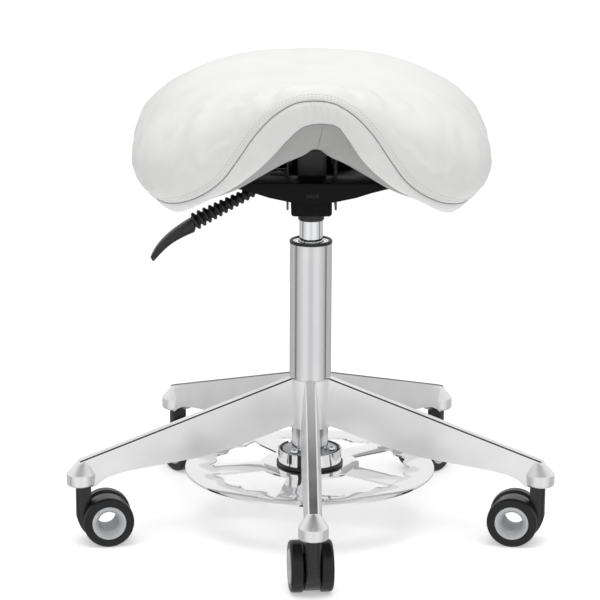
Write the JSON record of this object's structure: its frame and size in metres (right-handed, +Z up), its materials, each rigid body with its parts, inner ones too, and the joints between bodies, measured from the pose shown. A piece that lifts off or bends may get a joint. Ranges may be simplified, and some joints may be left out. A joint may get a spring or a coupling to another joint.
{
  "type": "saddle stool",
  "caption": "Saddle stool with a padded tilting seat, gas lift column, foot-plate height release and a star base on hollow-hub twin casters.",
  "frame": {"origin": "on the floor, under the column's axis", "axes": "+Z up along the column, -Y to the front of the seat, +X to the left of a person sitting on it"},
  "size_m": [0.5754, 0.5489, 0.5634],
  "materials": {
    "polished_aluminium": "polished cast aluminium",
    "stem_steel": "bright zinc-plated steel",
    "satin_steel": "satin tube steel",
    "chrome": "mirror chrome plate",
    "polished_steel": "polished stainless sheet",
    "black_nylon": "moulded, lightly textured",
    "black_enamel": "black powder coat",
    "birch_ply": "pressed plywood",
    "white_leatherette": "smooth white coated upholstery",
    "caster_nylon": "moulded, semi-gloss",
    "grey_hub": "moulded light grey, semi-gloss",
    "tread": "soft polyurethane tread"
  },
  "bodies": {
    "base": {"star_base": "polished_aluminium", "caster_stems": "stem_steel", "column_tube": "satin_steel", "column_ring": "black_nylon", "column_washers": "stem_steel", "guide_bush": "black_nylon", "release_flange": "stem_steel", "thrust_bearing": "stem_steel", "rod_clip": "stem_steel"},
    "rod": {"piston_rod": "chrome"},
    "pin": {"release_pin": "chrome"},
    "lift": {"gas_cylinder": "chrome", "socket_collar": "black_nylon", "socket_block": "black_enamel", "mechanism_pan": "black_nylon", "pivot_bracket": "black_enamel", "tilt_pin": "stem_steel", "lever_pin": "stem_steel"},
    "lever": {"lever_shaft": "stem_steel", "lever_sleeve": "black_nylon", "lever_paddle": "black_nylon"},
    "seat": {"seat_bracket": "black_enamel", "seat_bolts": "stem_steel", "seat_shell": "birch_ply", "seat_cushion": "white_leatherette"},
    "foot_release": {"foot_plate": "polished_steel", "rocker_cup": "black_nylon", "rocker_band": "chrome", "rocker_screws": "stem_steel"},
    "caster_1": {"caster_body_1": "caster_nylon", "axle_sleeve_1": "grey_hub"},
    "wheel_left_1": {"wheel_hub_left_1": "grey_hub", "tyre_left_1": "tread"},
    "wheel_right_1": {"wheel_hub_right_1": "grey_hub", "tyre_right_1": "tread"},
    "caster_2": {"caster_body_2": "caster_nylon", "axle_sleeve_2": "grey_hub"},
    "wheel_left_2": {"wheel_hub_left_2": "grey_hub", "tyre_left_2": "tread"},
    "wheel_right_2": {"wheel_hub_right_2": "grey_hub", "tyre_right_2": "tread"},
    "caster_3": {"caster_body_3": "caster_nylon", "axle_sleeve_3": "grey_hub"},
    "wheel_left_3": {"wheel_hub_left_3": "grey_hub", "tyre_left_3": "tread"},
    "wheel_right_3": {"wheel_hub_right_3": "grey_hub", "tyre_right_3": "tread"},
    "caster_4": {"caster_body_4": "caster_nylon", "axle_sleeve_4": "grey_hub"},
    "wheel_left_4": {"wheel_hub_left_4": "grey_hub", "tyre_left_4": "tread"},
    "wheel_right_4": {"wheel_hub_right_4": "grey_hub", "tyre_right_4": "tread"},
    "caster_5": {"caster_body_5": "caster_nylon", "axle_sleeve_5": "grey_hub"},
    "wheel_left_5": {"wheel_hub_left_5": "grey_hub", "tyre_left_5": "tread"},
    "wheel_right_5": {"wheel_hub_right_5": "grey_hub", "tyre_right_5": "tread"}
  },
  "joints": [
    {"name": "seat_swivel", "type": "hinge", "parent": "base", "child": "rod", "pos_m": [0, 0, 0.09], "axis": [0, 0, 1], "continuous": true},
    {"name": "seat_height", "type": "slide", "parent": "rod", "child": "lift", "axis": [0, 0, 1], "range_m": [0, 0.13]},
    {"name": "seat_tilt", "type": "hinge", "parent": "lift", "child": "seat", "pos_m": [0, 0, 0.455], "axis": [1, 0, 0], "range_deg": [-5, 10]},
    {"name": "lever_lift", "type": "hinge", "parent": "lift", "child": "lever", "pos_m": [-0.038, -0.02, 0.4282], "axis": [0, 1, 0], "range_deg": [0, 12]},
    {"name": "foot_plate_tilt", "type": "hinge", "parent": "base", "child": "foot_release", "pos_m": [0.00372, -0.01298, 0.0903], "axis": [0.9613, 0.2756, 0], "range_deg": [0, 5], "stiffness_Nm_per_rad": 12, "springref_deg": -1.72},
    {"name": "release_pin_push", "type": "slide", "parent": "rod", "child": "pin", "axis": [0, 0, 1], "range_m": [0, 0.0013]},
    {"name": "caster_swivel_1", "type": "hinge", "parent": "base", "child": "caster_1", "pos_m": [0, -0.2824, 0.06], "axis": [0, 0, 1], "continuous": true},
    {"name": "wheel_spin_left_1", "type": "hinge", "parent": "caster_1", "child": "wheel_left_1", "pos_m": [-0.00254, -0.25451, 0.03], "axis": [-0.9959, -0.0906, 0], "continuous": true},
    {"name": "wheel_spin_right_1", "type": "hinge", "parent": "caster_1", "child": "wheel_right_1", "pos_m": [-0.00254, -0.25451, 0.03], "axis": [-0.9959, -0.0906, 0], "continuous": true},
    {"name": "caster_swivel_2", "type": "hinge", "parent": "base", "child": "caster_2", "pos_m": [0.26858, -0.08727, 0.06], "axis": [0, 0, 1], "continuous": true},
    {"name": "wheel_spin_left_2", "type": "hinge", "parent": "caster_2", "child": "wheel_left_2", "pos_m": [0.24107, -0.08202, 0.03], "axis": [-0.1874, -0.9823, 0], "continuous": true},
    {"name": "wheel_spin_right_2", "type": "hinge", "parent": "caster_2", "child": "wheel_right_2", "pos_m": [0.24107, -0.08202, 0.03], "axis": [-0.1874, -0.9823, 0], "continuous": true},
    {"name": "caster_swivel_3", "type": "hinge", "parent": "base", "child": "caster_3", "pos_m": [0.16599, 0.22847, 0.06], "axis": [0, 0, 1], "continuous": true},
    {"name": "wheel_spin_left_3", "type": "hinge", "parent": "caster_3", "child": "wheel_left_3", "pos_m": [0.14961, 0.20576, 0.03], "axis": [0.8111, -0.585, 0], "continuous": true},
    {"name": "wheel_spin_right_3", "type": "hinge", "parent": "caster_3", "child": "wheel_right_3", "pos_m": [0.14961, 0.20576, 0.03], "axis": [0.8111, -0.585, 0], "continuous": true},
    {"name": "caster_swivel_4", "type": "hinge", "parent": "base", "child": "caster_4", "pos_m": [-0.16599, 0.22847, 0.06], "axis": [0, 0, 1], "continuous": true},
    {"name": "wheel_spin_left_4", "type": "hinge", "parent": "caster_4", "child": "wheel_left_4", "pos_m": [-0.15025, 0.20531, 0.03], "axis": [0.8271, 0.5621, 0], "continuous": true},
    {"name": "wheel_spin_right_4", "type": "hinge", "parent": "caster_4", "child": "wheel_right_4", "pos_m": [-0.15025, 0.20531, 0.03], "axis": [0.8271, 0.5621, 0], "continuous": true},
    {"name": "caster_swivel_5", "type": "hinge", "parent": "base", "child": "caster_5", "pos_m": [-0.26858, -0.08727, 0.06], "axis": [0, 0, 1], "continuous": true},
    {"name": "wheel_spin_left_5", "type": "hinge", "parent": "caster_5", "child": "wheel_left_5", "pos_m": [-0.24094, -0.08279, 0.03], "axis": [-0.1599, 0.9871, 0], "continuous": true},
    {"name": "wheel_spin_right_5", "type": "hinge", "parent": "caster_5", "child": "wheel_right_5", "pos_m": [-0.24094, -0.08279, 0.03], "axis": [-0.1599, 0.9871, 0], "continuous": true}
  ],
  "couplings": [
    {"joint": "release_pin_push", "follows": "foot_plate_tilt", "m_per_rad": 0.0135}
  ]
}
